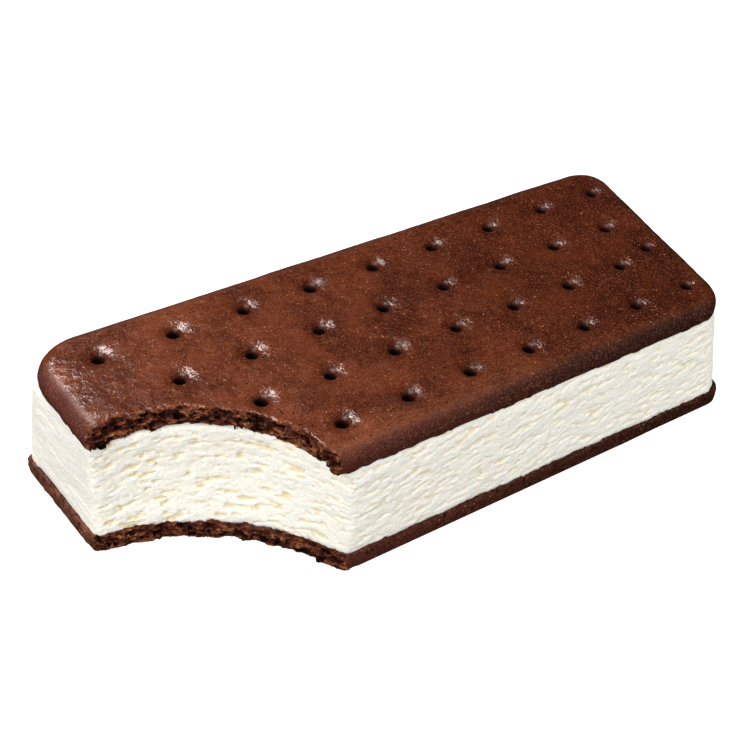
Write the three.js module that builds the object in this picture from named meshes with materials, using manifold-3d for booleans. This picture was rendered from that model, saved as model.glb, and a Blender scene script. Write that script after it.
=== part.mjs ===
// A bitten ice cream sandwich: a block of vanilla ice cream between two soft chocolate wafers.
// Millimetres, +Z up. It lies on its lower wafer with +X along its length, away from the bite,
// and the bite takes the corner at -X and -Y.

import * as THREE from 'three';
import { mergeVertices } from 'three/addons/utils/BufferGeometryUtils.js';
import { SimplexNoise } from 'three/addons/math/SimplexNoise.js';
import Module from 'manifold-3d';

// Each layer is a rectangle with round corners, a little out of square. x and y place its centre,
// nearCorner and farCorner are the plan radii at the bitten end and the far one, nearSkew and
// farSkew are how much further out those ends are at the back than at the front, and frontTaper
// and backTaper are how much the long sides draw in from the bitten end to the far one.
const UPPER_WAFER = {
  length: 119.6, width: 48, nearCorner: 10, farCorner: 7, x: -0.35, y: 0.9,
  nearSkew: 0.6, farSkew: 6, frontTaper: 0.2, backTaper: 2.2,
};
const FILLING_TOP = {
  length: 115.8, width: 46, x: -1.65, y: 0,
  nearSkew: 1.4, farSkew: 2, frontTaper: 0.4, backTaper: 0.4,
};
const FILLING_BASE = {
  length: 118.5, width: 47.9, nearCorner: 3, farCorner: 4, x: -1.05, y: -0.95,
  nearSkew: 2.4, farSkew: 0.6, frontTaper: 0.4, backTaper: 0.4,
};
const LOWER_WAFER = {
  length: 119.8, width: 48.3, nearCorner: 2.2, farCorner: 3.5, x: -0.95, y: -1.15,
  nearSkew: 1.9, farSkew: 0.6, frontTaper: 0.8, backTaper: 0.4,
};

// One wafer lies face up and the other face down. The rounded rim of each baked face reaches
// inwards by run and falls by drop.
const UPPER_CROWN = { run: 4.0, drop: 2.6 };
const LOWER_CROWN = { run: 0.8, drop: 0.9 };
const WAFER_THICKNESS = 3.5;
const FOOT = { run: 0.5, drop: 0.6 }; // the same rounding on the face that meets the ice cream
const FILLING_HEIGHT = 16.65;
const CLEARANCE = 0.3; // between the ice cream and each wafer

// The docking holes: four rows, each one third of a pitch ahead of the next.
const HOLE_ROWS = 4;
const HOLE_COLUMNS = 9;
const HOLE_PITCH = 12.2; // at the far end
const HOLE_STRETCH = 0.094; // how much a row falls behind an even pitch, for each hole squared
const ROW_PITCH = 10.65;
const BACK_ROW_Y = 15.8;
const LAST_COLUMN_X = 54.2;
const END_HOLE = { x: 54.0, y: -3.4 }; // the single hole between the shifted rows at the far end
const HOLE_DEPTH = 2.2;
// Radius and depth up the side of one hole: a narrow pit in a shallow dimple.
const HOLE_PROFILE = [[0.8, 2.1], [1.15, 0.8], [1.7, 0.45], [2.6, 0], [3.4, -0.4]];

// The bite: round in plan, wide and shallow at the bottom and tighter at the top. In the upper
// wafer it widens again, from the lower side to the upper one.
const BITE_LOW = { x: -63.7, y: -40.5, radius: 39.4 };
const BITE_HIGH = { x: -57.0, y: -29.6, radius: 31.1 };
const BITE_UPPER_LOW = { x: -54.2, y: -23.5, radius: 25.0 };
const BITE_UPPER_HIGH = { x: -55.3, y: -24.4, radius: 27.0 };
const BITE_HOLLOW = 1.6; // above 1 the face is scooped, at 1 it is a straight slope
const BITE_OVERSHOOT = 2; // how far the cutter passes the faces of a layer

// Relief of the broken and pressed surfaces. depth is half the height of the lumps, length and
// height are their size along the surface and up it, and plane picks a slice of the noise.
const CRUMB_LUMPS = { depth: 0.36, length: 3.4, height: 2.6, plane: 7 };
const CRUMB_GRAINS = { depth: 0.19, length: 1.5, height: 1.3, plane: 19 };
const LONG_RIDGES = { depth: 0.42, length: 11, height: 2.2, plane: 3 };
const SHORT_RIDGES = { depth: 0.18, length: 4, height: 1.3, plane: 11 };
const RIDGE_SLOPE = 0.06; // how much the bite's ridges climb along it
const SIDE_RIDGES = { depth: 0.24, endDepth: 0.12, length: 6, height: 1.5, slant: 0.6 };
const BITTEN_END = -0.45; // where the smoother bitten end starts, as a share of the length
const RIM_WAVES = { depth: 0.14, length: 9 };

// How finely the surfaces are divided.
const HOLE_SIDES = 9;
const CORNER_STEPS = 6;
const FOOT_STEPS = 2;
const CROWN_STEPS = 5;
const WAFER_SIDE_STEP = 6;
const FILLING_SIDE_STEP = 3;
const FILLING_LEVELS = 11;
const WAFER_BITE_LEVELS = 9;
const FILLING_BITE_LEVELS = 19;
const BITE_TURNS = 84; // columns round the bite's cutter
const BITE_FACE = { turns: 64, start: -0.25, end: 1.95 }; // those that meet the sandwich, and their arc

const LEAST_RADIUS = 0.3;
const MERGE_DISTANCE = 1e-4;
const NOISE_SEED = 31;

THREE.MathUtils.seededRandom(NOISE_SEED);
const noise = new SimplexNoise({ random: () => THREE.MathUtils.seededRandom() });

const wasm = await Module();
wasm.setup();

// Geometry and solids.

function mergedPositions(geometry) {
  geometry.deleteAttribute('normal');
  geometry.deleteAttribute('uv');
  return mergeVertices(geometry, MERGE_DISTANCE);
}

function toSolid(geometry) {
  return new wasm.Manifold(new wasm.Mesh({
    numProp: 3,
    vertProperties: new Float32Array(geometry.attributes.position.array),
    triVerts: new Uint32Array(geometry.index.array),
  }));
}

function toGeometry(solid) {
  const mesh = solid.getMesh();
  const geometry = new THREE.BufferGeometry();
  geometry.setAttribute('position', new THREE.BufferAttribute(mesh.vertProperties, 3));
  geometry.setIndex(new THREE.BufferAttribute(mesh.triVerts, 1));
  geometry.computeVertexNormals();
  return geometry;
}

function movePoints(geometry, move) {
  const position = geometry.attributes.position;
  const point = new THREE.Vector3();
  for (let i = 0; i < position.count; i += 1) {
    point.fromBufferAttribute(position, i);
    move(point);
    position.setXYZ(i, point.x, point.y, point.z);
  }
  return geometry;
}

// A closed solid of stacked rings. place(turn, level, middle) gives each point: turn counts the
// columns round the solid, level the rings from the bottom, and middle is true for a cap's centre.
function stackedRings(turns, levels, place) {
  const column = new THREE.CylinderGeometry(1, 1, levels, turns, levels, false, Math.PI / 2)
    .rotateX(Math.PI / 2);
  return movePoints(mergedPositions(column), (point) => {
    const turn = (Math.round(Math.atan2(point.y, point.x) / (2 * Math.PI) * turns) + turns) % turns;
    const level = Math.round(point.z + levels / 2);
    const middle = Math.round(Math.hypot(point.x, point.y)) === 0;
    point.copy(place(turn, level, middle));
  });
}

// Plan outlines.

// The outline of a rectangle with round corners, drawn in by inset, always with as many points.
function roundedOutline({ length, width, nearCorner, farCorner }, inset, sideStep) {
  const outline = [];
  const turns = [[1, 1], [-1, 1], [-1, -1], [1, -1]];
  turns.forEach(([sideX, sideY], quarter) => {
    const radius = Math.max((sideX > 0 ? farCorner : nearCorner) - inset, LEAST_RADIUS);
    const centreX = sideX * (length / 2 - inset - radius);
    const centreY = sideY * (width / 2 - inset - radius);
    for (let i = 0; i <= CORNER_STEPS; i += 1) {
      const angle = (quarter + i / CORNER_STEPS) * Math.PI / 2;
      outline.push(new THREE.Vector2(
        centreX + radius * Math.cos(angle),
        centreY + radius * Math.sin(angle),
      ));
    }
  });
  return withSideSteps(outline, CORNER_STEPS + 1, sideStep);
}

// Splits the straight side after each corner into steps of about sideStep.
function withSideSteps(corners, cornerPoints, sideStep) {
  const outline = [];
  corners.forEach((point, i) => {
    outline.push(point);
    if ((i + 1) % cornerPoints !== 0) return;
    const next = corners[(i + 1) % corners.length];
    const steps = Math.round(point.distanceTo(next) / sideStep);
    for (let step = 1; step < steps; step += 1) {
      outline.push(point.clone().lerp(next, step / steps));
    }
  });
  return outline;
}

// Moves a point of a true rectangle, centred on the origin, to where it lies in the layer.
function placeInLayer(point, layer) {
  const along = point.x / layer.length + 0.5;
  const across = point.y / layer.width + 0.5;
  const skew = layer.farSkew * along - layer.nearSkew * (1 - along);
  const draw = layer.frontTaper * (1 - across) - layer.backTaper * across;
  point.x += layer.x + skew * (across - 0.5);
  point.y += layer.y + draw * (along - 0.5);
  return point;
}

// The wafers.

// Inset and height of each ring of a wafer lying face up: a small round at the foot, a wide one
// at the crown.
function waferProfile(crown) {
  const rings = [];
  for (let i = 0; i <= FOOT_STEPS; i += 1) {
    const angle = i / FOOT_STEPS * Math.PI / 2;
    rings.push({
      inset: FOOT.run * (1 - Math.sin(angle)),
      z: FOOT.drop * (1 - Math.cos(angle)),
    });
  }
  for (let i = 0; i <= CROWN_STEPS; i += 1) {
    const angle = i / CROWN_STEPS * Math.PI / 2;
    rings.push({
      inset: crown.run * (1 - Math.cos(angle)),
      z: WAFER_THICKNESS - crown.drop * (1 - Math.sin(angle)),
    });
  }
  return rings;
}

function waferSlab(layer, crown) {
  const rings = waferProfile(crown);
  const outlines = rings.map(({ inset }) => roundedOutline(layer, inset, WAFER_SIDE_STEP));
  const turns = outlines[0].length;
  return stackedRings(turns, rings.length - 1, (turn, level, middle) => {
    if (middle) return new THREE.Vector3(0, 0, rings[level].z);
    const { x, y } = outlines[level][turn];
    const bulge = RIM_WAVES.depth * noise.noise(x / RIM_WAVES.length, y / RIM_WAVES.length);
    const wave = 1 + bulge / (layer.width / 2);
    return new THREE.Vector3(x * wave, y * wave, rings[level].z);
  });
}

// The cutter of one docking hole, with the wafer's face at height 0.
function holeCutter() {
  const [, topDepth] = HOLE_PROFILE.at(-1);
  const profile = [[0, HOLE_DEPTH], ...HOLE_PROFILE, [0, topDepth]];
  const points = profile.map(([radius, depth]) => new THREE.Vector2(radius, -depth));
  return new THREE.LatheGeometry(points, HOLE_SIDES).rotateX(Math.PI / 2);
}

function holeCentres() {
  const centres = [];
  for (let row = 0; row < HOLE_ROWS; row += 1) {
    const y = BACK_ROW_Y - row * ROW_PITCH;
    const shift = row % (HOLE_ROWS - 1) / (HOLE_ROWS - 1);
    const holes = shift === 0 ? HOLE_COLUMNS : HOLE_COLUMNS - 1;
    for (let i = 0; i < holes; i += 1) {
      const place = i + shift;
      centres.push({ x: LAST_COLUMN_X - HOLE_PITCH * place - HOLE_STRETCH * place ** 2, y });
    }
  }
  centres.push(END_HOLE);
  return centres;
}

function dockedSlab(layer, crown) {
  const cutter = toSolid(mergedPositions(holeCutter()));
  return holeCentres().reduce(
    (slab, { x, y }) => slab.subtract(cutter.translate([x, y, WAFER_THICKNESS])),
    toSolid(waferSlab(layer, crown)),
  );
}

// The bite.

// A column round the bite. section(rise) gives its circle at a share of the height, and
// relief(reach, z) how far the surface stands out where reach millimetres of arc have passed.
function biteCutter(low, high, levels, section, relief) {
  const { turns, start, end } = BITE_FACE;
  const angleOf = (turn) => (turn <= turns
    ? start + (end - start) * turn / turns
    : end + (2 * Math.PI + start - end) * (turn - turns) / (BITE_TURNS - turns));
  return toSolid(stackedRings(BITE_TURNS, levels, (turn, level, middle) => {
    const rise = level / levels;
    const z = low - BITE_OVERSHOOT + (high - low + 2 * BITE_OVERSHOOT) * rise;
    const { x, y, radius } = section(THREE.MathUtils.clamp((z - low) / (high - low), 0, 1));
    const angle = angleOf(turn);
    const reach = middle ? 0 : radius + relief(angle * radius, z);
    return new THREE.Vector3(x + reach * Math.cos(angle), y + reach * Math.sin(angle), z);
  }));
}

// How far the lumps of one size stand out at a place along the bite and up it.
function lumps({ depth, length, height, plane }, arc, z) {
  return depth * noise.noise3d(arc / length, z / height, plane);
}

function crumbRelief(arc, z) {
  return lumps(CRUMB_LUMPS, arc, z) + lumps(CRUMB_GRAINS, arc, z);
}

function ridgeRelief(arc, z) {
  const sweep = z + RIDGE_SLOPE * arc;
  return lumps(LONG_RIDGES, arc, sweep) + lumps(SHORT_RIDGES, arc, sweep);
}

// The circle that lies at a share of the way from one to another.
function circleBetween(low, high, share) {
  const mix = (key) => THREE.MathUtils.lerp(low[key], high[key], share);
  return { x: mix('x'), y: mix('y'), radius: mix('radius') };
}

function waferBite(z, low, high) {
  const section = (rise) => circleBetween(low, high, rise);
  return biteCutter(z, z + WAFER_THICKNESS, WAFER_BITE_LEVELS, section, crumbRelief);
}

function fillingBite(z) {
  const section = (rise) => circleBetween(BITE_LOW, BITE_HIGH, 1 - (1 - rise) ** BITE_HOLLOW);
  return biteCutter(z, z + FILLING_HEIGHT, FILLING_BITE_LEVELS, section, ridgeRelief);
}

// The layers.

// A slab moved to its place in the sandwich, with the bite taken out of it. The bite goes from
// one circle at the wafer's lower side to another at its upper side.
function bittenWafer(slab, layer, z, low, high) {
  const geometry = movePoints(slab, (point) => placeInLayer(point, layer));
  return toSolid(geometry.translate(0, 0, z)).subtract(waferBite(z, low, high));
}

function lowerWafer() {
  const slab = toGeometry(dockedSlab(LOWER_WAFER, LOWER_CROWN));
  slab.rotateX(Math.PI).translate(0, 0, WAFER_THICKNESS);
  return bittenWafer(slab, LOWER_WAFER, 0, BITE_LOW, BITE_LOW);
}

function upperWafer(z) {
  const slab = toGeometry(dockedSlab(UPPER_WAFER, UPPER_CROWN));
  return bittenWafer(slab, UPPER_WAFER, z, BITE_UPPER_LOW, BITE_UPPER_HIGH);
}

// How far the ice cream's side stands out: slanting ridges along the sides, a smoother bitten end.
function sideRelief(x, y, height) {
  const { depth, endDepth, length, slant } = SIDE_RIDGES;
  const along = (x + slant * height) / length;
  const amount = x < BITTEN_END * FILLING_BASE.length ? endDepth : depth;
  return amount * noise.noise3d(along, y / length, height / SIDE_RIDGES.height);
}

// The whole block: every point runs straight from the outline of its base to that of its top.
function fillingBlock(z) {
  const outline = roundedOutline(FILLING_BASE, 0, FILLING_SIDE_STEP);
  const narrowing = {
    x: FILLING_TOP.length / FILLING_BASE.length,
    y: FILLING_TOP.width / FILLING_BASE.width,
  };
  return stackedRings(outline.length, FILLING_LEVELS, (turn, level, middle) => {
    const rise = level / FILLING_LEVELS;
    const { x, y } = middle ? new THREE.Vector2() : outline[turn];
    const stand = 2 * sideRelief(x, y, FILLING_HEIGHT * rise);
    const outX = x * (1 + stand / FILLING_BASE.length);
    const outY = y * (1 + stand / FILLING_BASE.width);
    const low = new THREE.Vector3(outX, outY, z);
    const high = new THREE.Vector3(outX * narrowing.x, outY * narrowing.y, z + FILLING_HEIGHT);
    return placeInLayer(low, FILLING_BASE).lerp(placeInLayer(high, FILLING_TOP), rise);
  });
}

function filling(z) {
  return toSolid(fillingBlock(z)).subtract(fillingBite(z));
}

// Assembly.

const FILLING_Z = WAFER_THICKNESS + CLEARANCE;
const UPPER_Z = FILLING_Z + FILLING_HEIGHT + CLEARANCE;

const waferFace = new THREE.MeshStandardMaterial({ color: 0x5e3526, roughness: 0.55, metalness: 0 });
const waferUnder = new THREE.MeshStandardMaterial({ color: 0x4a2a22, roughness: 0.65, metalness: 0 });
const vanilla = new THREE.MeshStandardMaterial({ color: 0xf3efe2, roughness: 0.5, metalness: 0 });

function layerMesh(name, solid, material) {
  const mesh = new THREE.Mesh(toGeometry(solid), material);
  mesh.name = name;
  return mesh;
}

const sandwich = new THREE.Group();
sandwich.add(
  layerMesh('bottom_wafer', lowerWafer(), waferUnder),
  layerMesh('ice_cream', filling(FILLING_Z), vanilla),
  layerMesh('top_wafer', upperWafer(UPPER_Z), waferFace),
);

export default sandwich;
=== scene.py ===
import math

import bpy
import numpy as np
from mathutils import Matrix, Vector


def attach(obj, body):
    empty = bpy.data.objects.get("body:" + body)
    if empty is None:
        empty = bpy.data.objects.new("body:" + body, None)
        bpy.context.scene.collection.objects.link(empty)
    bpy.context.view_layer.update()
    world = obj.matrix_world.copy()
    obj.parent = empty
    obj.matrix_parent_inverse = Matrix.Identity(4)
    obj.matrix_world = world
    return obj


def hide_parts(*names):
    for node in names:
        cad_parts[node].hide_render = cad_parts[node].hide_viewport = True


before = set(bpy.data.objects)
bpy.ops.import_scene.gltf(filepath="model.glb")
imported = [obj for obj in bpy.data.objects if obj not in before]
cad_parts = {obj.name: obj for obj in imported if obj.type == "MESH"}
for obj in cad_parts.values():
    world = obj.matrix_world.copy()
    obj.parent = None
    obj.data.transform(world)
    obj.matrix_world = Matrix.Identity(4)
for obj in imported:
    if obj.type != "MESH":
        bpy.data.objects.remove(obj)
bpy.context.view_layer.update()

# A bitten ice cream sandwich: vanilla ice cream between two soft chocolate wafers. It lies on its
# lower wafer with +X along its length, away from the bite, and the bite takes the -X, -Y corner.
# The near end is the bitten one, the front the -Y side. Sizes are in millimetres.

MM = 0.001

# The layers are rectangles a little out of square. near_skew and far_skew say how much further
# out an end's back corner lies than its front one, front and back how much further in that long
# side lies at the far end.
UPPER = dict(length=119.6, width=48, x=-0.35, y=0.9,
             near_skew=0.6, far_skew=6, front=0.2, back=2.2)
VANILLA_TOP = dict(length=115.8, width=46, x=-1.65, y=0,
                   near_skew=1.4, far_skew=2, front=0.4, back=0.4)
VANILLA_BASE = dict(length=118.5, width=47.9, x=-1.05, y=-0.95,
                    near_skew=2.4, far_skew=0.6, front=0.4, back=0.4)
LOWER = dict(length=119.8, width=48.3, x=-0.95, y=-1.15,
             near_skew=1.9, far_skew=0.6, front=0.8, back=0.4)

# The heights. The ice cream reaches a little into both wafers, so that no slit shows at the
# seams.
WAFER = 3.5
VANILLA_LOW = 2.9
VANILLA_HIGH = 20.8
UPPER_LOW = 20.75
UPPER_HIGH = UPPER_LOW + WAFER

# The radii of the upright corners at the near and the far end, and of the baked rims.
UPPER_CORNERS = (10, 7)
UPPER_CROWN = 2.7
LOWER_CORNERS = (2.2, 3.5)
LOWER_CROWN = 0.8
VANILLA_CORNERS = (3, 4)
SEAM_RIM = 0.5

# The bite: x, y and radius of its circle in the lower wafer, at the ice cream's top, and at the
# lower and the upper side of the upper wafer. Its torn face in the ice cream runs from
# FILLING_LOW to FILLING_HIGH and is drawn in by the power BITE_HOLLOW.
BITE_LOW = (-63.7, -40.5, 39.4)
BITE_HIGH = (-57.0, -29.6, 31.1)
BITE_UPPER_LOW = (-54.2, -23.5, 25.0)
BITE_UPPER_HIGH = (-55.3, -24.4, 27.0)
BITE_HOLLOW = 1.6
FILLING_LOW = 3.8
FILLING_HIGH = 20.45

# Where the near ends of the lower wafer and of the ice cream lie.
LOWER_END_X = -60.2
VANILLA_END_X = -60

# The docking holes, measured from the middle of a wafer. Their steps along a row grow a little
# towards the bite, and each row starts a share of a step further from the far end.
HOLE_PITCH = 12.2
HOLE_STRETCH = 0.094
ROW_PITCH = 10.65
ROW_SHIFTS = (0, 1 / 3, 2 / 3, 0)
HOLES_IN_ROW = 9
BACK_ROW_Y = 15.8
LAST_COLUMN_X = 54.2
END_HOLE = (54.0, -3.4)

# A hole is a pit in the middle of a dimple. The dimples have their full depth at the far end,
# the share DIMPLE_MIDDLE of it in the middle of the wafer, and gain DIMPLE_GAIN on the way.
DIMPLE_RADIUS = 3.2
DIMPLE_DEPTH = 1.15
DIMPLE_MIDDLE = 0.85
DIMPLE_GAIN = 0.15
HALF_LENGTH = 60
PIT_CORE = 0.3
PIT_WALL = 1.25
PIT_DEPTH = 1.9

# The size of the even faces that the pieces start with, before the finer parts are split.
WAFER_GRID = 0.5
VANILLA_GRID = 0.9

# How upright the normal of a face is that counts as flat, and how far from the bite and the
# outline hidden flat faces are merged.
FLAT = 0.98
WAFER_MARGIN = 5
VANILLA_MARGIN = 4

# How far from the bite a wafer's faces are split once, and twice.
SPLIT_REACH = 1.8
FINE_REACH = 1.0

# The weights of a vertex group are rounded to this many steps.
WEIGHT_STEPS = 40

# Colours, as screen values from 0 to 255. A pair is for the near and for the far end.
# The far values of the crust pairs are partly a darker bake and partly painted shade for light that
# falls off towards the far end.
CRUST_DARK = (60, 23, 12), (41, 13, 7)
CRUST_LIGHT = (108, 55, 32), (75, 32, 16)
RIM_BAKE_AND_SHADE = (64, 22, 16), (28, 7, 4)
FRONT_PAINTED_SHEEN = (152, 92, 64)
HOLE_PAINTED_SHADE = (54, 16, 8)
GRAIN_DARK = (34, 12, 7)
GRAIN_LIGHT = (150, 96, 66)
PAINTED_GLINT = (186, 136, 108)
PORE = (18, 7, 5)
END_DARK = (44, 20, 13)
END_LIGHT = (98, 54, 37)
CRUMB_SHADE_STOPS = ((0.0, (14, 6, 5)), (0.3, (42, 18, 13)), (0.58, (76, 36, 25)),
               (0.8, (106, 59, 39)), (1.0, (172, 114, 76)))
CRUMB_EDGE = (150, 92, 56)
PIT_SIDE_SHADE = (40, 13, 9)
PIT_MIDDLE_SHADOW = (6, 2, 2)
CREAM = (252, 247, 238)
CREAM_LOW_TINT_AND_SHADE = (240, 227, 200)
CREAM_BEADS = (234, 223, 198)
CREAM_HOLLOW_TINT_AND_SHADE = (231, 213, 162)

# The camera looks from an azimuth, counted from the front towards the near end, and an
# elevation, both round its aim, and is shifted sideways and up and rolled, in degrees and
# millimetres. Its focal length is given in pixels of a square picture.
AZIMUTH = 38.332
ELEVATION = 40.591
ROLL = 6.001
AIM = (-1.9, -1.5, 0.35)
DISTANCE = 289.277
SHIFT_RIGHT = -4.012
SHIFT_UP = 10.39
FOCAL_PIXELS = 1601
PICTURE_PIXELS = 748
SENSOR = 36


# Modelling, as by hand.

def edit(piece, kind):
    """Opens a piece for editing its vertices, edges or faces."""
    bpy.context.view_layer.objects.active = piece
    modes = {"VERT": (True, False, False), "EDGE": (False, True, False),
             "FACE": (False, False, True)}
    bpy.context.tool_settings.mesh_select_mode = modes[kind]
    bpy.ops.object.mode_set(mode="EDIT")


def finish_edit():
    bpy.ops.object.mode_set(mode="OBJECT")


def only(piece):
    """Selects one piece and no other."""
    bpy.ops.object.select_all(action="DESELECT")
    piece.select_set(True)
    bpy.context.view_layer.objects.active = piece


def pick(piece, kind, wanted):
    """Selects the vertices, edges or faces whose flag in wanted is set, and opens them."""
    mesh = piece.data
    for parts in (mesh.vertices, mesh.edges, mesh.polygons):
        parts.foreach_set("select", [False] * len(parts))
    parts = {"VERT": mesh.vertices, "EDGE": mesh.edges, "FACE": mesh.polygons}[kind]
    parts.foreach_set("select", [bool(flag) for flag in wanted])
    edit(piece, kind)


def apply_all(piece):
    """Applies the modifiers of a piece, in their order."""
    only(piece)
    for modifier in list(piece.modifiers):
        bpy.ops.object.modifier_apply(modifier=modifier.name)


def done(piece):
    """Leaves a finished piece selected, smooth and without its working groups."""
    only(piece)
    piece.vertex_groups.clear()
    bpy.ops.object.shade_smooth()
    return piece


def slant(layer, x, y):
    """How far a layer's slanting sides move a place that is measured from its middle."""
    along, across = x / layer["length"] + 0.5, y / layer["width"] + 0.5
    skew = layer["far_skew"] * along - layer["near_skew"] * (1 - along)
    draw = layer["front"] * (1 - across) - layer["back"] * across
    return skew * (across - 0.5), draw * (along - 0.5)


def placed(layer, x, y):
    """Where a place that is measured from a layer's middle lies."""
    skew, draw = slant(layer, x, y)
    return x + layer["x"] + skew, y + layer["y"] + draw


def block(name, base, top, low, high):
    """A six-sided block between two heights, with the corners of one layer below and of another
    above."""
    bpy.ops.object.select_all(action="DESELECT")
    middle = (low + high) / 2
    size = (base["length"] * MM, base["width"] * MM, (high - low) * MM)
    bpy.ops.mesh.primitive_cube_add(size=1, location=(0, 0, middle * MM), scale=size)
    piece = bpy.context.object
    piece.name = name
    bpy.ops.object.transform_apply(location=True, rotation=True, scale=True)
    corners = [vertex.co.copy() for vertex in piece.data.vertices]
    for i, corner in enumerate(corners):
        layer = top if corner.z > middle * MM else base
        x, y = placed(layer, math.copysign(layer["length"] / 2, corner.x),
                      math.copysign(layer["width"] / 2, corner.y))
        pick(piece, "VERT", [k == i for k in range(len(corners))])
        bpy.ops.transform.translate(value=(x * MM - corner.x, y * MM - corner.y, 0))
        finish_edit()
    return piece


def edge_ends(piece):
    """Where the two ends of each edge lie."""
    mesh = piece.data
    places = np.array([vertex.co[:] for vertex in mesh.vertices]) / MM
    ends = np.array([edge.vertices[:] for edge in mesh.edges])
    return places[ends[:, 0]], places[ends[:, 1]]


def round_corners(piece, near, far):
    """Rounds the upright edges of a block, by one radius at each end."""
    for radius, sign in ((near, -1), (far, 1)):
        start, end = edge_ends(piece)
        upright = np.abs(start[:, 2] - end[:, 2]) > 1
        pick(piece, "EDGE", upright & (start[:, 0] * sign > 0))
        bpy.ops.mesh.bevel(offset=radius * MM, segments=12, affect="EDGES")
        finish_edit()


def round_rim(piece, height, radius, segments):
    """Rounds the edges that run round a block at a height."""
    start, end = edge_ends(piece)
    level = (np.abs(start[:, 2] - height) < 0.01) & (np.abs(end[:, 2] - height) < 0.01)
    pick(piece, "EDGE", level)
    bpy.ops.mesh.bevel(offset=radius * MM, segments=segments, affect="EDGES")
    finish_edit()


def levels(low, high, steps, spare):
    """Heights in even steps from low to high, and one more beyond each end."""
    rise = [low + (high - low) * i / steps for i in range(steps + 1)]
    return [low - spare, *rise, high + spare]


def torn_circle(z):
    """The circle of the torn face in the ice cream, at a height or at each of several."""
    rise = np.clip((z - FILLING_LOW) / (FILLING_HIGH - FILLING_LOW), 0, 1)
    share = 1 - (1 - rise) ** BITE_HOLLOW
    return [low + (high - low) * share for low, high in zip(BITE_LOW, BITE_HIGH)]


def filling_circle(z):
    """The same, but wider under the torn face, so that the lower wafer's broken edge stays free
    of ice cream."""
    x, y, radius = torn_circle(z)
    return x, y, radius + max(FILLING_LOW - z, 0)


def biter(heights, circle_at, ragged):
    """The body of a bite: a disc drawn up through the heights, resized at each to its circle."""
    bpy.ops.object.select_all(action="DESELECT")
    x, y, radius = circle_at(heights[0])
    bpy.ops.mesh.primitive_circle_add(vertices=300, radius=radius * MM, fill_type="NGON",
                                      location=(x * MM, y * MM, heights[0] * MM))
    body = bpy.context.object
    bpy.ops.object.transform_apply(location=True, rotation=True, scale=True)
    edit(body, "FACE")
    bpy.ops.mesh.select_all(action="SELECT")
    for low, high in zip(heights, heights[1:]):
        (x, y, radius), (next_x, next_y, next_radius) = circle_at(low), circle_at(high)
        bpy.ops.mesh.extrude_region_move()
        bpy.ops.transform.translate(value=Vector((next_x - x, next_y - y, high - low)) * MM)
        share = next_radius / radius
        centre = (next_x * MM, next_y * MM, high * MM)
        bpy.ops.transform.resize(value=(share, share, 1), center_override=centre)
    bpy.ops.mesh.select_all(action="SELECT")
    bpy.ops.mesh.normals_make_consistent(inside=False)
    finish_edit()
    if ragged:
        weigh(body, "wall", [1] * len(body.data.vertices))
        relief(body, "wall", size=(4.5, 4.5, 3), depth=1.2, seed=21)
        relief(body, "wall", size=(1.5, 1.5, 1.2), depth=1.2, seed=22)
    return body


def bite(piece, heights, circle_at, ragged=False):
    """Cuts the bite out of a piece."""
    body = biter(heights, circle_at, ragged)
    cut = piece.modifiers.new("Bite", "BOOLEAN")
    cut.operation = "DIFFERENCE"
    cut.solver = "EXACT"
    cut.object = body
    apply_all(piece)
    bpy.data.objects.remove(body)


def even_mesh(piece, size):
    """Gives the piece small even faces of a size."""
    remesh = piece.modifiers.new("Even", "REMESH")
    remesh.mode = "VOXEL"
    remesh.voxel_size = size * MM
    apply_all(piece)
    soften(piece, rounds=2)


def soften(piece, rounds, group=""):
    """Evens out a group of vertices, or the whole piece."""
    smooth = piece.modifiers.new("Soft", "SMOOTH")
    smooth.factor = 0.5
    smooth.iterations = rounds
    smooth.vertex_group = group
    apply_all(piece)


def table(parts, place):
    """Places and normals of all vertices or faces."""
    read = []
    for name in (place, "normal"):
        values = np.empty(len(parts) * 3, np.float32)
        parts.foreach_get(name, values)
        read.append(values.reshape(-1, 3).astype(float))
    return read[0] / MM, read[1]


def vertex_table(piece):
    return table(piece.data.vertices, "co")


def face_table(piece):
    return table(piece.data.polygons, "center")


def refine(piece, wanted):
    """Splits each wanted face into four."""
    pick(piece, "FACE", wanted(*face_table(piece)))
    bpy.ops.mesh.subdivide(number_cuts=1, smoothness=0, ngon=False, quadcorner="INNERVERT")
    finish_edit()


def merge_faces(piece, wanted):
    """Makes one face of the wanted flat ones."""
    pick(piece, "FACE", wanted(*face_table(piece)))
    bpy.ops.mesh.dissolve_faces()
    finish_edit()


def weigh(piece, name, weights):
    """A vertex group with a weight for each vertex."""
    group = piece.vertex_groups.new(name=name)
    steps = np.clip(np.round(np.asarray(weights) * WEIGHT_STEPS), 0, WEIGHT_STEPS).astype(int)
    for step in range(1, WEIGHT_STEPS + 1):
        found = np.nonzero(steps == step)[0]
        if len(found):
            group.add(found.tolist(), step / WEIGHT_STEPS, "REPLACE")


def note(piece, name, values):
    """Adds values, one for each vertex, to a named attribute that the finishes read."""
    layer = piece.data.attributes.get(name)
    if layer is None:
        layer = piece.data.attributes.new(name, "FLOAT", "POINT")
    total = np.empty(len(piece.data.vertices), np.float32)
    layer.data.foreach_get("value", total)
    layer.data.foreach_set("value", (total + values).astype(np.float32))


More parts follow.
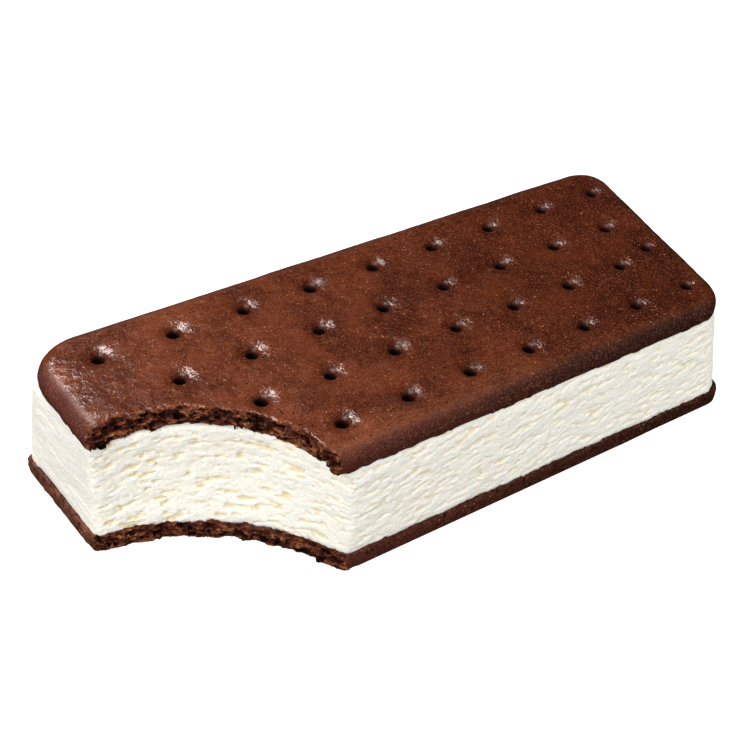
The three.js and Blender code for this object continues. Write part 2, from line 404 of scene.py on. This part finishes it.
def relief(piece, group, size, depth, tilt=0, ramp=None, seed=0, direction="NORMAL",
           centred=True, noted="relief"):
    """Pushes the surface in and out by a texture whose features have a size, and notes how far.
    The texture leans by tilt degrees, and a ramp steepens it between two of its values."""
    before, normals = vertex_table(piece)
    texture = bpy.data.textures.new("Relief", "CLOUDS")
    texture.noise_scale = 1
    texture.noise_depth = 2
    if ramp:
        texture.use_color_ramp = True
        low, high = texture.color_ramp.elements
        low.position, high.position = ramp
        low.color, high.color = (0, 0, 0, 1), (1, 1, 1, 1)
    # Each seed takes another part of the texture.
    start = (0.0031 * (seed + 1), 0.0017 * (seed + 2), 0.0023 * (seed + 1))
    bpy.ops.object.empty_add(location=start)
    guide = bpy.context.object
    guide.scale = [length * MM for length in size]
    guide.rotation_euler = (0, math.radians(tilt), 0)
    bpy.context.view_layer.update()
    push = piece.modifiers.new("Relief", "DISPLACE")
    push.texture = texture
    push.texture_coords = "OBJECT"
    push.texture_coords_object = guide
    push.direction = direction
    push.mid_level = 0.5 if centred else 0
    push.strength = depth * MM
    push.vertex_group = group
    apply_all(piece)
    bpy.data.objects.remove(guide)
    bpy.data.textures.remove(texture)
    after, _ = vertex_table(piece)
    note(piece, noted, ((after - before) * normals).sum(1))


def push_in(piece, group, depth):
    """Moves a group straight down by its weight times depth."""
    push = piece.modifiers.new("Press", "DISPLACE")
    push.direction = "Z"
    push.mid_level = 0
    push.strength = -depth * MM
    push.vertex_group = group
    apply_all(piece)


def falloff(distance, reach):
    """1 at no distance, 0 from reach onwards, smooth between."""
    share = np.clip(1 - np.asarray(distance) / reach, 0, 1)
    return share * share * (3 - 2 * share)


def beyond(places, circle_at):
    """How far each place is outside the bite's circle at its height."""
    x, y, radius = circle_at(places[:, 2])
    return np.hypot(places[:, 0] - x, places[:, 1] - y) - radius


def rim_gap(places, layer):
    """How far each place is inside a layer's slanting outline."""
    x, y = places[:, 0] - layer["x"], places[:, 1] - layer["y"]
    skew, draw = slant(layer, x, y)
    return np.minimum(layer["length"] / 2 - np.abs(x - skew), layer["width"] / 2 - np.abs(y - draw))


def inside(places, layer, margin):
    """Whether each place is more than a margin inside a layer's rectangle."""
    in_x = layer["length"] / 2 - np.abs(places[:, 0] - layer["x"])
    in_y = layer["width"] / 2 - np.abs(places[:, 1] - layer["y"])
    return np.minimum(in_x, in_y) > margin


def hole_centres(layer, face_up):
    """Where the docking holes of a wafer lie, whose rows turn over with it."""
    side = 1 if face_up else -1
    centres = [placed(layer, END_HOLE[0], side * END_HOLE[1])]
    for row, shift in enumerate(ROW_SHIFTS):
        y = side * (BACK_ROW_Y - row * ROW_PITCH)
        for i in range(HOLES_IN_ROW - 1 if shift else HOLES_IN_ROW):
            step = i + shift
            x = LAST_COLUMN_X - HOLE_PITCH * step - HOLE_STRETCH * step ** 2
            centres.append(placed(layer, x, y))
    return centres


def nearest_hole(places, holes):
    """How far each place is from the nearest hole."""
    nearest = np.full(len(places), 1e3)
    for x, y in holes:
        nearest = np.minimum(nearest, np.hypot(places[:, 0] - x, places[:, 1] - y))
    return nearest


def press_holes(piece, holes, face_up):
    """The docking holes: a shallow dimple round each, and the pin's pit in its middle."""
    side = 1 if face_up else -1
    places, normals = vertex_table(piece)
    baked = normals[:, 2] * side > 0.3
    away = nearest_hole(places, holes)
    dimple = np.clip(1 - away / DIMPLE_RADIUS, 0, 1) ** 1.35
    deeper = DIMPLE_MIDDLE + DIMPLE_GAIN * places[:, 0] / HALF_LENGTH
    weigh(piece, "dimple", dimple * deeper * baked)
    weigh(piece, "pit", falloff(away - PIT_CORE, PIT_WALL) * baked)
    # Round each pit, a ring that the finish paints with shade.
    note(piece, "hole", falloff(away - 0.9, 2.6) * baked)
    # The pit's core, which the finish paints dark as its shade and shadow.
    note(piece, "deep", falloff(away - 0.85, 0.8) * baked)
    push_in(piece, "dimple", DIMPLE_DEPTH * side)
    push_in(piece, "pit", PIT_DEPTH * side)


def split_wafer(piece, layer, circle_at, holes, face_up):
    """Merges the faces against the ice cream, and splits those round the holes and at the bite."""
    joined_side = -1 if face_up else 1

    def hidden(at, normal):
        flat = normal[:, 2] * joined_side > FLAT
        return flat & (beyond(at, circle_at) > WAFER_MARGIN) & inside(at, layer, WAFER_MARGIN)

    def round_hole(at, normal):
        return (nearest_hole(at, holes) < DIMPLE_RADIUS + 0.2) & (normal[:, 2] * joined_side < 0)

    merge_faces(piece, hidden)
    refine(piece, round_hole)
    refine(piece, lambda at, normal: beyond(at, circle_at) < SPLIT_REACH)
    refine(piece, lambda at, normal: beyond(at, circle_at) < FINE_REACH)


def weigh_wafer(piece, layer, low, joined, circle_at, face_up):
    """The groups that the wafer's relief moves, and the notes for its finish."""
    places, normals = vertex_table(piece)
    x, height = places[:, 0], places[:, 2] - low
    gap = beyond(places, circle_at)
    wall = rim_gap(places, layer)

    # The lower wafer's underside stays flat, because the sandwich rests on it.
    resting = 1 if face_up else np.clip(1.2 + 2 * normals[:, 2], 0, 1)
    weigh(piece, "whole", falloff(1.6 - gap, 1.2) * resting)

    # The broken edge is torn on its steep parts, and less towards its corners and the rims.
    sideways = np.hypot(normals[:, 0], normals[:, 1])
    lifted = np.clip((WAFER / 2 + 0.1 - np.abs(height - WAFER / 2)) / 0.8, 0.05, 1)
    reach = np.where(wall > 1.2, 0.8, 0.2)
    torn = falloff(np.abs(gap) - reach, 0.3) * np.clip(1.6 * sideways, 0, 1)
    weigh(piece, "torn", torn * lifted * resting)
    weigh(piece, "nibbled", falloff(np.abs(gap) - 0.5, 0.7))
    weigh(piece, "tips", falloff(gap - 0.8, 1.6) * falloff(wall - 0.8, 1.6))

    # The seam is the edge against the ice cream, along the sides and, weaker, along the bite.
    outline = falloff(np.abs(wall) - 0.2, 1.0)
    sides = np.maximum(outline, 0.5 * falloff(gap - 0.4, 0.8))
    weigh(piece, "seam", falloff(np.abs(places[:, 2] - joined) - 0.3, 0.9) * sides)

    if face_up:
        weigh(piece, "crown", falloff(wall, 6.5) * np.clip(height - 1.6, 0, 1))
    else:
        weigh(piece, "rough", falloff(x - LOWER_END_X, 2.2) * resting)
    note(piece, "tear", torn)
    note(piece, "rim", falloff(wall, 5))


def bitten_wafer(name, layer, low, circles, corners, crown, face_up):
    """A wafer with rounded rims, docking holes and the broken edge of the bite."""
    def circle_at(z):
        """The bite's circle at a height, or at each of several."""
        share = np.clip((z - low) / WAFER, 0, 1)
        return [start + (end - start) * share for start, end in zip(*circles)]

    high = low + WAFER
    baked, joined = (high, low) if face_up else (low, high)
    piece = block(name, layer, layer, low, high)
    round_corners(piece, *corners)
    round_rim(piece, baked, crown, segments=8)
    round_rim(piece, joined, SEAM_RIM, segments=3)
    bite(piece, levels(low, high, steps=8, spare=2), circle_at, ragged=True)
    even_mesh(piece, WAFER_GRID)
    holes = hole_centres(layer, face_up)
    split_wafer(piece, layer, circle_at, holes, face_up)
    weigh_wafer(piece, layer, low, joined, circle_at, face_up)

    soften(piece, 100, "tips")
    if face_up:
        push_in(piece, "crown", 0.2)
    else:
        relief(piece, "rough", size=(1.3, 1.5, 1.0), depth=0.7, seed=18)
    press_holes(piece, holes, face_up)
    relief(piece, "whole", size=(11, 9, 9), depth=0.28, seed=1)
    relief(piece, "whole", size=(2.6, 1.7, 2), depth=0.07, seed=2)
    relief(piece, "seam", size=(7, 7, 7), depth=0.4, seed=8, direction="Z")
    relief(piece, "seam", size=(2.4, 2.4, 6), depth=-0.3 if face_up else 0.7,
           ramp=(0.5, 0.6), seed=9, direction="Z", centred=False)

    # The crumb's colour, painted shade and light, follows the relief of the broken edge alone, so
    # the rest is forgotten.
    piece.data.attributes.remove(piece.data.attributes["relief"])
    for seed, direction in ((31, "X"), (32, "Y")):
        relief(piece, "nibbled", size=(1.1, 1.1, 1.6), depth=0.75, seed=seed, direction=direction)
    relief(piece, "torn", size=(3, 3, 0.6), depth=0.8, ramp=(0.3, 0.6), seed=4)
    relief(piece, "torn", size=(1.8, 1.8, 0.5), depth=-1.2 if face_up else -1.0,
           ramp=(0.54, 0.66), seed=5, centred=False)
    soften(piece, 1, "torn")
    relief(piece, "torn", size=(0.5, 0.5, 0.3), depth=0.46, seed=6)
    soften(piece, 1, "nibbled")
    return done(piece)


def split_vanilla(piece):
    """Merges the faces under the wafers, and splits the sides, twice where they show most."""
    def hidden(at, normal):
        flat = np.abs(normal[:, 2]) > FLAT
        clear = beyond(at, torn_circle) > VANILLA_MARGIN
        return flat & clear & inside(at, VANILLA_TOP, VANILLA_MARGIN)

    def side(at, normal):
        return np.abs(normal[:, 2]) < 0.9

    def shown(at, normal):
        near_end = (at[:, 0] < -55) & (at[:, 1] < 22)
        front = at[:, 1] < -20
        return side(at, normal) & ((beyond(at, torn_circle) < 1) | front | near_end)

    merge_faces(piece, hidden)
    refine(piece, side)
    refine(piece, shown)


def weigh_vanilla(piece):
    """The groups of the ice cream: the bite's torn face, the near end and the pressed sides."""
    places, normals = vertex_table(piece)
    gap = beyond(places, torn_circle)
    upright = np.clip(1.4 * np.hypot(normals[:, 0], normals[:, 1]), 0, 1)
    torn = falloff(np.abs(gap) - 0.3, 0.9)
    near_end = falloff(np.abs(places[:, 0] - VANILLA_END_X) - 1.5, 3) * (1 - torn)
    crisp = np.clip(rim_gap(places, VANILLA_BASE) / 2.2, 0.15, 1)
    weigh(piece, "torn", torn * upright * crisp)
    weigh(piece, "pressed", (1 - torn) * (1 - near_end) * upright)
    weigh(piece, "end", near_end * upright)


def vanilla_block():
    """The block of ice cream, with layered sides and the bite's hollow, torn face."""
    piece = block("vanilla_block", VANILLA_BASE, VANILLA_TOP, VANILLA_LOW, VANILLA_HIGH)
    round_corners(piece, *VANILLA_CORNERS)
    bite(piece, levels(FILLING_LOW, FILLING_HIGH, steps=12, spare=3), filling_circle)
    even_mesh(piece, VANILLA_GRID)
    split_vanilla(piece)
    weigh_vanilla(piece)

    relief(piece, "torn", size=(14, 14, 5), depth=0.5, seed=1)
    relief(piece, "torn", size=(6, 6, 1.4), depth=0.28, tilt=-6, seed=2)
    relief(piece, "torn", size=(3.4, 3.4, 0.9), depth=0.13, tilt=6, seed=12)
    relief(piece, "torn", size=(2.3, 2.3, 0.75), depth=-0.5, tilt=-4, ramp=(0.55, 0.72), seed=3,
           centred=False, noted="hollow")
    soften(piece, 1, "torn")
    relief(piece, "torn", size=(0.8, 0.8, 0.6), depth=0.22, seed=4)
    relief(piece, "torn", size=(0.4, 0.4, 0.36), depth=0.18, seed=14)

    relief(piece, "pressed", size=(10, 10, 3), depth=0.2, tilt=-5, seed=5)
    relief(piece, "pressed", size=(5, 5, 1.6), depth=0.26, tilt=-7, seed=6)
    relief(piece, "pressed", size=(2.4, 2.4, 0.8), depth=-0.3, tilt=-7, ramp=(0.54, 0.7), seed=16,
           centred=False, noted="hollow")
    relief(piece, "pressed", size=(0.8, 0.8, 0.6), depth=0.2, tilt=-8, seed=7)
    relief(piece, "pressed", size=(0.4, 0.4, 0.36), depth=0.13, tilt=-5, seed=17)

    relief(piece, "end", size=(6, 8, 2), depth=0.25, seed=8)
    relief(piece, "end", size=(1.6, 3.2, 0.8), depth=0.14, seed=9)
    relief(piece, "end", size=(0.6, 0.8, 0.5), depth=0.12, seed=10)
    return done(piece)


# Finishes.

class Value:
    """A socket of a finish, with arithmetic on it."""

    def __init__(self, finish, socket):
        self.finish = finish
        self.socket = socket

    def maths(self, operation, *terms):
        return self.finish.node("ShaderNodeMath", {"operation": operation}, dict(enumerate(terms)))

    def __add__(self, other):
        return self.maths("ADD", self, other)

    __radd__ = __add__

    def __mul__(self, other):
        return self.maths("MULTIPLY", self, other)

    __rmul__ = __mul__

    def __sub__(self, other):
        return self.maths("SUBTRACT", self, other)

    def __rsub__(self, other):
        return self.maths("SUBTRACT", other, self)

    def __truediv__(self, other):
        return self.maths("DIVIDE", self, other)

    def __pow__(self, other):
        return self.maths("POWER", self, other)

    def __abs__(self):
        return self.maths("ABSOLUTE", self)

    def clipped(self):
        return self.finish.node("ShaderNodeClamp", {}, {0: self})


class Finish:
    """A material, built up node by node."""

    def __init__(self, name):
        self.material = bpy.data.materials.new(name)
        self.material.use_nodes = True
        self.tree = self.material.node_tree
        self.shader = self.tree.nodes["Principled BSDF"]
        self.place = self.node("ShaderNodeTexCoord", {}, {}, "Object")

    def node(self, kind, settings, sockets, output=0):
        """One output of a new node, whose settings are made before its sockets are fed."""
        node = self.tree.nodes.new(kind)
        for key, value in settings.items():
            if key == "stops":
                self.set_stops(node.color_ramp.elements, value)
            else:
                setattr(node, key, value)
        for key, value in sockets.items():
            self.feed(node.inputs[key], value)
        return Value(self, node.outputs[output])

    def set_stops(self, elements, stops):
        while len(elements) < len(stops):
            elements.new(1)
        for element, (position, color) in zip(elements, stops):
            element.position = position
            element.color = (*color, 1)

    def feed(self, socket, value):
        if isinstance(value, Value):
            self.tree.links.new(value.socket, socket)
        else:
            socket.default_value = value

    def set(self, shader=None, **sockets):
        """Feeds the named sockets of a surface shader, or of the first one."""
        for key, value in sockets.items():
            self.feed((shader or self.shader).inputs[key.replace("_", " ")], value)

    def second_shader(self, share):
        """Mixes another surface shader over the first by share, and gives it back."""
        over = self.tree.nodes.new("ShaderNodeBsdfPrincipled")
        mixer = self.tree.nodes.new("ShaderNodeMixShader")
        surface = self.tree.nodes["Material Output"].inputs["Surface"]
        self.feed(mixer.inputs[0], share)
        self.tree.links.new(self.shader.outputs[0], mixer.inputs[1])
        self.tree.links.new(over.outputs[0], mixer.inputs[2])
        self.tree.links.new(mixer.outputs[0], surface)
        return over

    def scaled(self, size):
        """Object coordinates in which one unit measures size, in millimetres."""
        scale = [1 / (length * MM) for length in size]
        return self.node("ShaderNodeVectorMath", {"operation": "MULTIPLY"},
                         {0: self.place, 1: scale})

    def axis(self, name):
        """One of the object coordinates, in millimetres."""
        return self.node("ShaderNodeSeparateXYZ", {}, {0: self.place}, name) / MM

    def note(self, name):
        """What was noted on the piece under a name."""
        return self.node("ShaderNodeAttribute", {"attribute_name": name}, {}, "Fac")

    def noise(self, size, detail, rough, seed):
        """Cloudy noise whose features have a size."""
        return self.node("ShaderNodeTexNoise", {"noise_dimensions": "4D"}, {
            "Vector": self.scaled(size), "W": seed, "Scale": 1, "Detail": detail,
            "Roughness": rough})

    def cells(self, size, seed):
        """The distance from the middles of scattered cells of a size."""
        return self.node("ShaderNodeTexVoronoi", {"voronoi_dimensions": "4D"}, {
            "Vector": self.scaled(size), "W": seed, "Scale": 1})

    def dots(self, size, radius, seed, spread):
        """Small round spots, one in some of the cells of a size, where spread is high."""
        distance = self.cells((size, size, size), seed) + (0.5 - spread) * 0.5
        return self.between(distance, radius / size * 1.4, radius / size * 0.7)

    def between(self, value, low, high):
        """0 below low, 1 above high, smooth between."""
        return self.node("ShaderNodeMapRange", {"interpolation_type": "SMOOTHSTEP"}, {
            "Value": value, "From Min": low, "From Max": high})

    def mix(self, share, first, second):
        """The first colour, and the second over it by share."""
        first, second = ((*c, 1) if isinstance(c, tuple) else c for c in (first, second))
        return self.node("ShaderNodeMix", {"data_type": "RGBA"}, {0: share, 6: first, 7: second}, 2)

    def bump(self, height, depth, under=None):
        """A bumpy surface, over another one where that is given."""
        sockets = {"Height": height, "Distance": depth * MM, "Strength": 1}
        if under:
            sockets["Normal"] = under
        return self.node("ShaderNodeBump", {}, sockets)


def srgb(red, green, blue):
    """A linear colour from its screen values."""
    def linear(value):
        value /= 255
        return value / 12.92 if value < 0.04045 else ((value + 0.055) / 1.055) ** 2.4

    return linear(red), linear(green), linear(blue)


def wafer_finish(name, crust, shade, rough_end):
    """A baked wafer with its crumb, where the bite or a hole opens it. Crust is the height of its
    baked face, shade brightens its browns as painted light, and rough_end is 1 where its near end
    is porous."""
    finish = Finish(name)

    def brown(color):
        return tuple(part * shade for part in srgb(*color))

    # Darker towards the far end: partly a darker bake, partly painted shade for the light falling
    # off.
    def by_end(pair):
        return finish.mix(far, brown(pair[0]), brown(pair[1]))

    torn = finish.between(finish.note("tear"), 0.35, 0.6)
    deep = finish.note("deep").clipped()
    rim = finish.between(finish.note("rim"), 0.2, 1)
    far = finish.between(finish.axis("X"), -60, 50)
    tone = finish.noise((9, 9, 9), detail=3, rough=0.6, seed=1)
    mottle = finish.noise((1.5, 1.2, 1.3), detail=3, rough=0.65, seed=2)
    grain = finish.noise((0.34, 0.3, 0.3), detail=2, rough=0.6, seed=3)
    pores = (finish.dots(0.95, radius=0.17, seed=4, spread=mottle)
             + finish.dots(1.2, radius=0.36, seed=9, spread=mottle) * rough_end)
    # Tiny painted glints: scattered pale dots.
    painted_glints = finish.dots(0.62, radius=0.09, seed=5, spread=mottle)

    # The baked face: mottled, with a painted sheen along the front, darker at the rim partly as
    # painted shade.
    light = finish.between(tone, 0.35, 0.65) * 0.6 + finish.between(mottle, 0.34, 0.66) * 0.4
    face = finish.mix(light, by_end(CRUST_DARK), by_end(CRUST_LIGHT))
    # A painted sheen along the front of the near half, broken up by the mottle.
    front = finish.between(finish.axis("Y"), -14, -21) * (1 - far)
    face = finish.mix(front * mottle * 0.5, face, brown(FRONT_PAINTED_SHEEN))
    # The rim is darker partly by its bake and partly as painted shade where it turns from the
    # lamps, most at the far end.
    face = finish.mix(rim ** 2 * 0.85, face, by_end(RIM_BAKE_AND_SHADE))
    cut_end = finish.between(finish.axis("X"), -56, -60) * rough_end
    cut_color = finish.mix(finish.between(mottle, 0.3, 0.6), brown(END_DARK), brown(END_LIGHT))
    face = finish.mix(cut_end * 0.9, face, cut_color)
    # Painted shade in the dimple round each hole.
    face = finish.mix(finish.note("hole").clipped() * 0.55, face, brown(HOLE_PAINTED_SHADE))
    face = finish.mix(finish.between(grain, 0.5, 0.68) * 0.32, face, brown(GRAIN_LIGHT))
    face = finish.mix(finish.between(grain, 0.46, 0.3) * 0.4, face, brown(GRAIN_DARK))
    # Painted glints.
    face = finish.mix(painted_glints * 0.6, face, brown(PAINTED_GLINT))
    face = finish.mix(pores.clipped() * 0.85, face, srgb(*PORE))

    # It glistens, with fine wrinkles that fade towards the rim.
    calm = 1 - rim * 0.4
    waves = finish.noise((3.2, 2.6, 2.6), detail=2, rough=0.6, seed=7)
    wrinkles = finish.noise((1.3, 1.0, 1.0), detail=2, rough=0.6, seed=17)
    normal = finish.bump((waves - 0.5) * calm, 0.28)
    normal = finish.bump((wrinkles - 0.5) * calm, 0.12, normal)
    normal = finish.bump((grain - 0.5) * (0.7 + far * 0.4) - pores * 0.8, 0.09, normal)
    finish.set(Base_Color=face, Roughness=0.16 + grain * 0.12 + rim * 0.46, Normal=normal)

    # The crumb: painted shade in its hollows, paler as painted light the further it stands out,
    # with a browned edge at the baked face.
    level = finish.between(finish.note("relief"), -0.9, 0.6)
    flakes = finish.noise((0.7, 0.7, 0.25), detail=3, rough=0.7, seed=6)
    grit = finish.cells((0.55, 0.55, 0.4), seed=8)
    stops = [(position, srgb(*color)) for position, color in CRUMB_SHADE_STOPS]
    crumb = finish.node("ShaderNodeValToRGB", {"stops": stops},
                        {0: level * 0.7 + flakes * 0.9 - grit * 0.22 - 0.14})
    edge = finish.between(abs(finish.axis("Z") - crust), 0.3, 0.05)
    crumb = finish.mix(edge * finish.between(flakes, 0.4, 0.6) * 0.6, crumb, brown(CRUMB_EDGE))
    # The pit is painted dark: shade on its sides and shadow in its middle.
    pit = finish.mix(finish.between(deep, 0.5, 1), brown(PIT_SIDE_SHADE), srgb(*PIT_MIDDLE_SHADOW))
    crumb = finish.mix(deep, crumb, pit)

    # It is matte, and so is a part of the rim.
    opened = finish.between(torn + deep, 0.1, 0.9)
    matte = finish.second_shader((opened + rim * 0.5).clipped())
    finish.set(matte, Base_Color=finish.mix(opened, face, crumb), Roughness=0.75,
               Normal=finish.bump(flakes - grit * 0.8, 0.25), Specular_IOR_Level=0.04)
    return finish.material


def vanilla_finish():
    """Ice cream, yellower where it is low or hollow, partly its own tint and partly painted shade,
    with light going a little way in.
    """
    finish = Finish("Vanilla")
    grain = finish.noise((0.36, 0.36, 0.3), detail=3, rough=0.65, seed=1)
    beads = finish.cells((0.5, 0.5, 0.42), seed=2)
    low = finish.between(finish.note("relief") + grain * 0.7 - 0.35, 0.1, -0.55)
    hollow = finish.between(finish.note("hollow") + grain * 0.5 - 0.25, 0, -0.55)
    # Low and hollow places: partly the cream's yellower tint, partly painted shade.
    color = finish.mix(low * 0.6, srgb(*CREAM), srgb(*CREAM_LOW_TINT_AND_SHADE))
    color = finish.mix(finish.between(beads, 0.5, 0.9) * 0.4, color, srgb(*CREAM_BEADS))
    color = finish.mix(hollow * 0.85, color, srgb(*CREAM_HOLLOW_TINT_AND_SHADE))
    ripples = finish.noise((0.9, 0.9, 0.6), detail=4, rough=0.65, seed=2)
    normal = finish.bump(grain - beads * 0.6, 0.1, finish.bump(ripples, 0.08))
    finish.set(Base_Color=color, Roughness=0.5 + grain * 0.15, Normal=normal,
               Subsurface_Weight=0.7, Subsurface_Radius=(1.0, 0.9, 0.7),
               Subsurface_Scale=1.2 * MM)
    return finish.material


def floor_finish(glow):
    """A plain grey that glows white."""
    finish = Finish("Floor")
    finish.set(Base_Color=(0.5, 0.5, 0.5, 1), Roughness=0.8,
               Emission_Color=(1, 1, 1, 1), Emission_Strength=glow)
    return finish.material


def dress(piece, material, node):
    """Gives a piece its finish and puts it in the place of a node."""
    piece.data.materials.clear()
    piece.data.materials.append(material)
    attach(piece, "root")
    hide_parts(node)


# The sandwich.

upper = bitten_wafer("upper_wafer", UPPER, UPPER_LOW, (BITE_UPPER_LOW, BITE_UPPER_HIGH),
                     UPPER_CORNERS, UPPER_CROWN, face_up=True)
dress(upper, wafer_finish("Wafer_face", UPPER_HIGH, shade=1.0, rough_end=0),
      "top_wafer")
lower = bitten_wafer("lower_wafer", LOWER, 0, (BITE_LOW, BITE_LOW),
                     LOWER_CORNERS, LOWER_CROWN, face_up=False)
# Its browns are brightened as painted light, because the lamps light the lower wafer less.
dress(lower, wafer_finish("Wafer_under", 0, shade=1.15, rough_end=1),
      "bottom_wafer")
vanilla = vanilla_block()
dress(vanilla, vanilla_finish(), "ice_cream")


# The studio: a pale floor, soft lights and the camera. Its places and sizes are in metres.

def softbox(name, place, size, power, glossy=True, tint=(1, 1, 1)):
    """A round lamp that looks at the sandwich."""
    light = bpy.data.lights.new(name, "AREA")
    light.shape = "DISK"
    light.size = size
    light.energy = power
    light.color = tint
    lamp = bpy.data.objects.new(name, light)
    lamp.location = place
    aim = Vector((0, 0, 0.012)) - lamp.location
    lamp.rotation_euler = aim.to_track_quat("-Z", "Y").to_euler()
    lamp.visible_glossy = glossy
    bpy.context.scene.collection.objects.link(lamp)


def camera():
    """A long lens that looks down on the bitten end."""
    azimuth, elevation, roll = math.radians(AZIMUTH), math.radians(ELEVATION), math.radians(ROLL)
    back = Vector((-math.sin(azimuth) * math.cos(elevation),
                   -math.cos(azimuth) * math.cos(elevation), math.sin(elevation)))
    right = (-back).cross(Vector((0, 0, 1))).normalized()
    up = right.cross(-back)
    place = back * DISTANCE + right * SHIFT_RIGHT + up * SHIFT_UP + Vector(AIM)
    rolled_right = right * math.cos(roll) + up * math.sin(roll)
    rolled_up = up * math.cos(roll) - right * math.sin(roll)
    view = Matrix((rolled_right, rolled_up, back)).transposed().to_4x4()
    view.translation = place * MM
    eye = bpy.data.cameras.new("Camera")
    eye.sensor_width = SENSOR
    eye.lens = SENSOR * FOCAL_PIXELS / PICTURE_PIXELS
    eye.clip_start = 0.01
    lens = bpy.data.objects.new("Camera", eye)
    lens.matrix_world = view
    bpy.context.scene.collection.objects.link(lens)
    bpy.context.scene.camera = lens


def studio_floor():
    """A plane that shows white and neither lights the sandwich nor mirrors in it."""
    bpy.ops.mesh.primitive_plane_add(size=6, location=(0, 0, 0))
    floor = bpy.context.object
    floor.name = "floor"
    floor.data.materials.append(floor_finish(0.9))
    floor.visible_diffuse = False
    floor.visible_glossy = False


def surroundings(strength):
    """A faint even light from all round."""
    world = bpy.data.worlds.new("Studio")
    world.use_nodes = True
    background = world.node_tree.nodes["Background"]
    background.inputs["Color"].default_value = (1, 1, 1, 1)
    background.inputs["Strength"].default_value = strength
    world.cycles_visibility.glossy = False
    bpy.context.scene.world = world


studio_floor()
softbox("Key", (-0.50, -0.22, 0.35), size=0.60, power=4.5)
softbox("Fill", (0.42, -0.42, 0.20), size=0.50, power=2.7, glossy=False)
softbox("Top", (-0.05, -0.05, 0.55), size=0.50, power=0.3, glossy=False)
softbox("Back", (-0.08, 0.27, 0.43), size=0.12, power=2.5, tint=(1, 0.87, 0.84))
softbox("Rim", (-0.40, 0.36, 0.28), size=0.24, power=0.12)
camera()
surroundings(0.12)
bpy.context.scene.view_settings.view_transform = "Standard"
